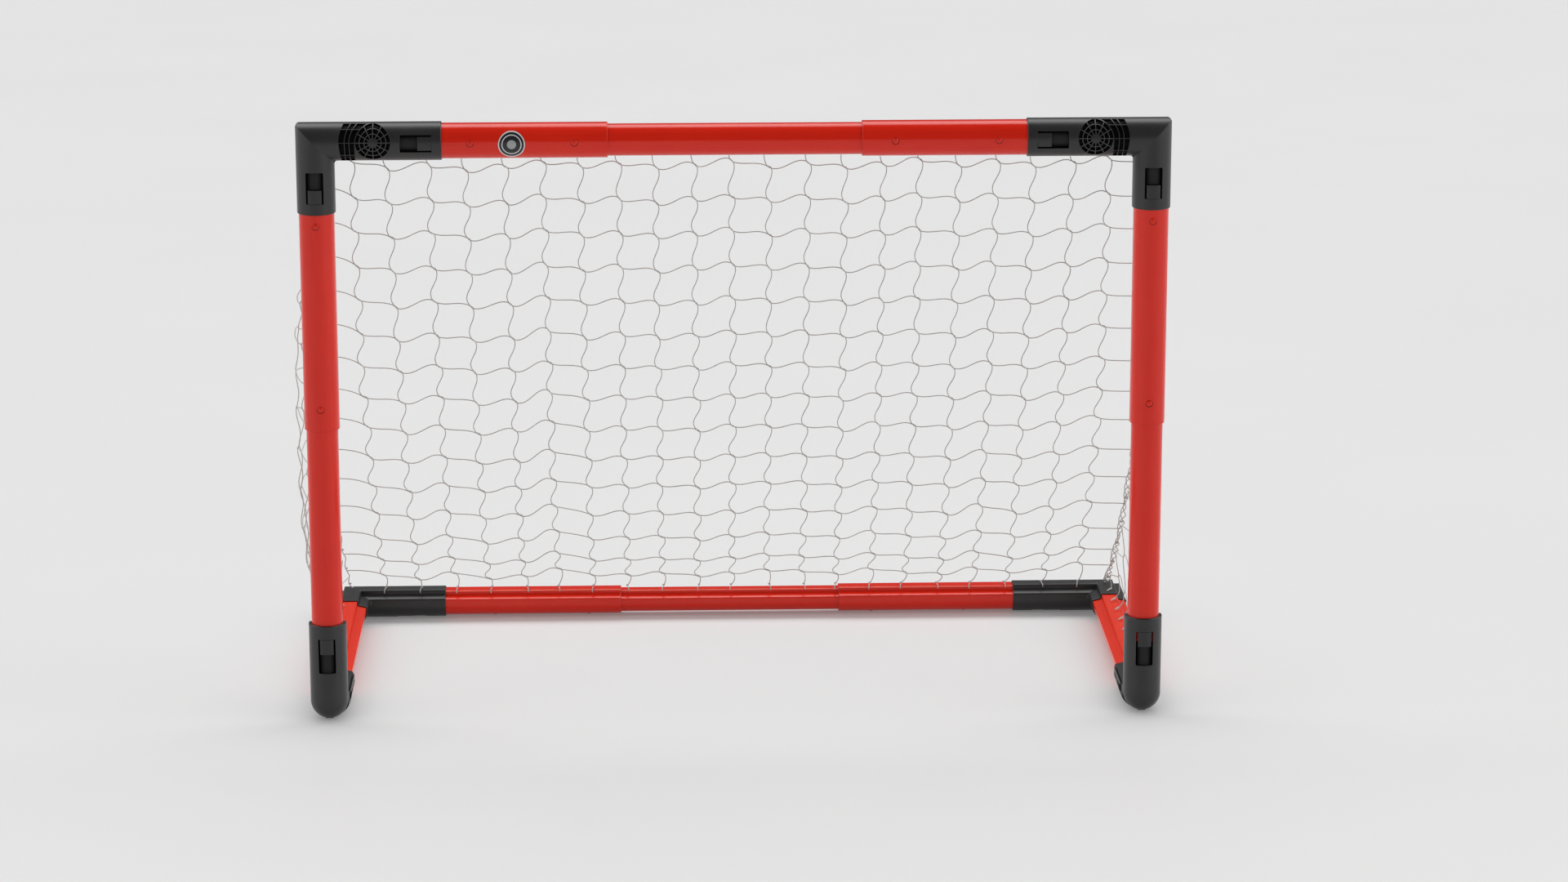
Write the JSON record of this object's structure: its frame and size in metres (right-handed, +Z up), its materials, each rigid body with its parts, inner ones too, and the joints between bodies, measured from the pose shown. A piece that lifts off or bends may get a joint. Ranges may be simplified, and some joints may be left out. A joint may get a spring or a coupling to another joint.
{
  "type": "hockey goal net",
  "caption": "Adjustable youth hockey goal: red plastic tubes in dark snap-together corner connectors, telescoping top, rear bars and posts, and a sloping mesh net.",
  "frame": {"origin": "centre of the footprint, on the floor", "axes": "+X along the top bar, +Y from the goal mouth to the rear bar, +Z up; the mouth faces -Y"},
  "size_m": [0.914, 0.429, 0.646],
  "materials": {
    "red_plastic": "semi-gloss",
    "charcoal_plastic": "fine matte texture",
    "net_twine": "twisted twine",
    "spring_steel": "satin",
    "label_film": "gloss film"
  },
  "bodies": {
    "base_mid": {"rear_mid_tube": "red_plastic", "springs_rear": "spring_steel", "net_back_mid": "net_twine"},
    "base_left": {"foot_left": "charcoal_plastic", "side_rail_left": "red_plastic", "rear_corner_left": "charcoal_plastic", "rear_sleeve_left": "red_plastic", "post_tube_left": "red_plastic", "spring_post_left": "spring_steel", "hole_plug_rear_left": "red_plastic", "net_back_left": "net_twine", "net_side_left": "net_twine"},
    "base_right": {"foot_right": "charcoal_plastic", "side_rail_right": "red_plastic", "rear_corner_right": "charcoal_plastic", "rear_sleeve_right": "red_plastic", "post_tube_right": "red_plastic", "spring_post_right": "spring_steel", "hole_plug_rear_right": "red_plastic", "net_back_right": "net_twine", "net_side_right": "net_twine"},
    "top_mid": {"top_mid_tube": "red_plastic", "springs_top": "spring_steel"},
    "top_left": {"elbow_left": "charcoal_plastic", "top_sleeve_left": "red_plastic", "post_sleeve_left": "red_plastic", "hole_plugs_top_left": "red_plastic", "round_label": "label_film"},
    "top_right": {"elbow_right": "charcoal_plastic", "top_sleeve_right": "red_plastic", "post_sleeve_right": "red_plastic", "hole_plugs_top_right": "red_plastic"},
    "button_top_left_body": {"button_top_left": "red_plastic"},
    "button_post_left_body": {"button_post_left": "red_plastic"},
    "button_rear_left_body": {"button_rear_left": "red_plastic"},
    "button_top_right_body": {"button_top_right": "red_plastic"},
    "button_post_right_body": {"button_post_right": "red_plastic"},
    "button_rear_right_body": {"button_rear_right": "red_plastic"},
    "tab_elbow_top_left_body": {"tab_elbow_top_left": "charcoal_plastic"},
    "tab_elbow_post_left_body": {"tab_elbow_post_left": "charcoal_plastic"},
    "tab_foot_post_left_body": {"tab_foot_post_left": "charcoal_plastic"},
    "tab_foot_side_left_body": {"tab_foot_side_left": "charcoal_plastic"},
    "tab_rear_side_left_body": {"tab_rear_side_left": "charcoal_plastic"},
    "tab_rear_bar_left_body": {"tab_rear_bar_left": "charcoal_plastic"},
    "tab_elbow_top_right_body": {"tab_elbow_top_right": "charcoal_plastic"},
    "tab_elbow_post_right_body": {"tab_elbow_post_right": "charcoal_plastic"},
    "tab_foot_post_right_body": {"tab_foot_post_right": "charcoal_plastic"},
    "tab_foot_side_right_body": {"tab_foot_side_right": "charcoal_plastic"},
    "tab_rear_side_right_body": {"tab_rear_side_right": "charcoal_plastic"},
    "tab_rear_bar_right_body": {"tab_rear_bar_right": "charcoal_plastic"}
  },
  "joints": [
    {"name": "width_left", "type": "slide", "parent": "base_mid", "child": "base_left", "axis": [1, 0, 0], "range_m": [0, 0.108], "deforming": ["button_top_left", "button_rear_left"]},
    {"name": "width_right", "type": "slide", "parent": "base_mid", "child": "base_right", "axis": [-1, 0, 0], "range_m": [0, 0.108], "deforming": ["button_top_right", "button_rear_right"]},
    {"name": "height", "type": "slide", "parent": "base_mid", "child": "top_mid", "axis": [0, 0, 1], "range_m": [-0.196, 0]},
    {"name": "height_left", "type": "slide", "parent": "base_left", "child": "top_left", "axis": [0, 0, 1], "range_m": [-0.196, 0], "deforming": ["button_post_left"]},
    {"name": "height_right", "type": "slide", "parent": "base_right", "child": "top_right", "axis": [0, 0, 1], "range_m": [-0.196, 0], "deforming": ["button_post_right"]},
    {"name": "press_button_top_left", "type": "slide", "parent": "top_mid", "child": "button_top_left_body", "axis": [0, 1, 0], "range_m": [0, 0.0029], "stiffness_N_per_m": 900, "deforming": ["springs_top"]},
    {"name": "press_button_post_left", "type": "slide", "parent": "base_left", "child": "button_post_left_body", "axis": [0, 1, 0], "range_m": [0, 0.0029], "stiffness_N_per_m": 900, "deforming": ["spring_post_left"]},
    {"name": "press_button_rear_left", "type": "slide", "parent": "base_mid", "child": "button_rear_left_body", "axis": [0, 0, 1], "range_m": [0, 0.0029], "stiffness_N_per_m": 900, "deforming": ["springs_rear"]},
    {"name": "press_button_top_right", "type": "slide", "parent": "top_mid", "child": "button_top_right_body", "axis": [0, 1, 0], "range_m": [0, 0.0029], "stiffness_N_per_m": 900, "deforming": ["springs_top"]},
    {"name": "press_button_post_right", "type": "slide", "parent": "base_right", "child": "button_post_right_body", "axis": [0, 1, 0], "range_m": [0, 0.0029], "stiffness_N_per_m": 900, "deforming": ["spring_post_right"]},
    {"name": "press_button_rear_right", "type": "slide", "parent": "base_mid", "child": "button_rear_right_body", "axis": [0, 0, 1], "range_m": [0, 0.0029], "stiffness_N_per_m": 900, "deforming": ["springs_rear"]},
    {"name": "lift_tab_elbow_top_left", "type": "hinge", "parent": "top_left", "child": "tab_elbow_top_left_body", "pos_m": [-0.31465, -0.2138, 0.626], "axis": [0, 0, 1], "range_deg": [0, 9], "stiffness_Nm_per_rad": 0.05},
    {"name": "lift_tab_elbow_post_left", "type": "hinge", "parent": "top_left", "child": "tab_elbow_post_left_body", "pos_m": [-0.437, -0.2138, 0.56245], "axis": [1, 0, 0], "range_deg": [0, 9], "stiffness_Nm_per_rad": 0.05},
    {"name": "lift_tab_foot_post_left", "type": "hinge", "parent": "base_left", "child": "tab_foot_post_left_body", "pos_m": [-0.437, -0.2138, 0.09185], "axis": [-1, 0, 0], "range_deg": [0, 9], "stiffness_Nm_per_rad": 0.05},
    {"name": "lift_tab_foot_side_left", "type": "hinge", "parent": "base_left", "child": "tab_foot_side_left_body", "pos_m": [-0.437, -0.11785, 0.00075], "axis": [1, 0, 0], "range_deg": [0, 9], "stiffness_Nm_per_rad": 0.05},
    {"name": "lift_tab_rear_side_left", "type": "hinge", "parent": "base_left", "child": "tab_rear_side_left_body", "pos_m": [-0.437, 0.15185, 0.00075], "axis": [-1, 0, 0], "range_deg": [0, 9], "stiffness_Nm_per_rad": 0.05},
    {"name": "lift_tab_rear_bar_left", "type": "hinge", "parent": "base_left", "child": "tab_rear_bar_left_body", "pos_m": [-0.33735, 0.1945, 0.00075], "axis": [0, -1, 0], "range_deg": [0, 9], "stiffness_Nm_per_rad": 0.05},
    {"name": "lift_tab_elbow_top_right", "type": "hinge", "parent": "top_right", "child": "tab_elbow_top_right_body", "pos_m": [0.31465, -0.2138, 0.626], "axis": [0, 0, -1], "range_deg": [0, 9], "stiffness_Nm_per_rad": 0.05},
    {"name": "lift_tab_elbow_post_right", "type": "hinge", "parent": "top_right", "child": "tab_elbow_post_right_body", "pos_m": [0.437, -0.2138, 0.56245], "axis": [1, 0, 0], "range_deg": [0, 9], "stiffness_Nm_per_rad": 0.05},
    {"name": "lift_tab_foot_post_right", "type": "hinge", "parent": "base_right", "child": "tab_foot_post_right_body", "pos_m": [0.437, -0.2138, 0.09185], "axis": [-1, 0, 0], "range_deg": [0, 9], "stiffness_Nm_per_rad": 0.05},
    {"name": "lift_tab_foot_side_right", "type": "hinge", "parent": "base_right", "child": "tab_foot_side_right_body", "pos_m": [0.437, -0.11785, 0.00075], "axis": [1, 0, 0], "range_deg": [0, 9], "stiffness_Nm_per_rad": 0.05},
    {"name": "lift_tab_rear_side_right", "type": "hinge", "parent": "base_right", "child": "tab_rear_side_right_body", "pos_m": [0.437, 0.15185, 0.00075], "axis": [-1, 0, 0], "range_deg": [0, 9], "stiffness_Nm_per_rad": 0.05},
    {"name": "lift_tab_rear_bar_right", "type": "hinge", "parent": "base_right", "child": "tab_rear_bar_right_body", "pos_m": [0.33735, 0.1945, 0.00075], "axis": [0, 1, 0], "range_deg": [0, 9], "stiffness_Nm_per_rad": 0.05}
  ],
  "couplings": [
    {"joint": "width_right", "follows": "width_left", "ratio": 1},
    {"joint": "height_left", "follows": "height", "ratio": 1},
    {"joint": "height_right", "follows": "height", "ratio": 1}
  ]
}
